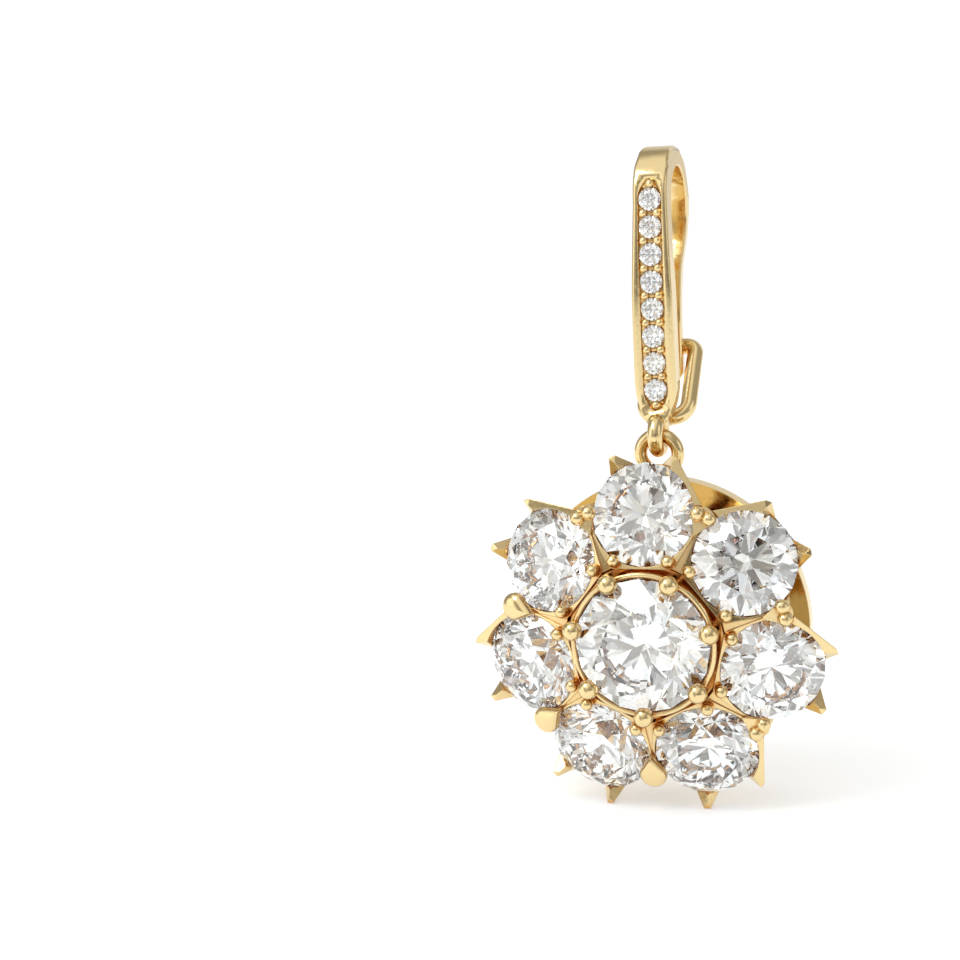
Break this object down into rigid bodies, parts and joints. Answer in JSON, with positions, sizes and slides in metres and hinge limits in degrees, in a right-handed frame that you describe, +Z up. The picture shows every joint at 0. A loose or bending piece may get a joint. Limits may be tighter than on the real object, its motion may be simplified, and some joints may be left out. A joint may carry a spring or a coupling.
{
  "type": "cluster drop earring",
  "caption": "Gold drop earring: a row of small stones on a hook with a loop latch, and a round cluster drop of clear stones hanging from it.",
  "frame": {"origin": "the inside top of the hook's arch, where the ear lobe carries the earring", "axes": "+X to the wearer's left as the viewer's right, -Y out of the stones' faces, +Z up; the drop hangs along -Z"},
  "size_m": [0.0178, 0.0114, 0.0316],
  "materials": {
    "gold": "polished yellow gold",
    "stone": "clear cut diamond"
  },
  "bodies": {
    "hook": {"hook": "gold", "bar_stone_1": "stone", "bar_stone_2": "stone", "bar_stone_3": "stone", "bar_stone_4": "stone", "bar_stone_5": "stone", "bar_stone_6": "stone", "bar_stone_7": "stone", "bar_stone_8": "stone"},
    "latch": {"latch": "gold"},
    "drop": {"setting": "gold", "centre_stone": "stone", "outer_stone_1": "stone", "outer_stone_2": "stone", "outer_stone_3": "stone", "outer_stone_4": "stone", "outer_stone_5": "stone", "outer_stone_6": "stone", "outer_stone_7": "stone"}
  },
  "joints": [
    {"name": "drop_swing", "type": "hinge", "parent": "hook", "child": "drop", "pos_m": [0, -0.00283, -0.01275], "axis": [1, 0, 0], "range_deg": [-75, 55]},
    {"name": "latch_hinge", "type": "hinge", "parent": "hook", "child": "latch", "pos_m": [0, -0.00128, -0.01215], "axis": [-1, 0, 0], "range_deg": [0, 80]}
  ]
}
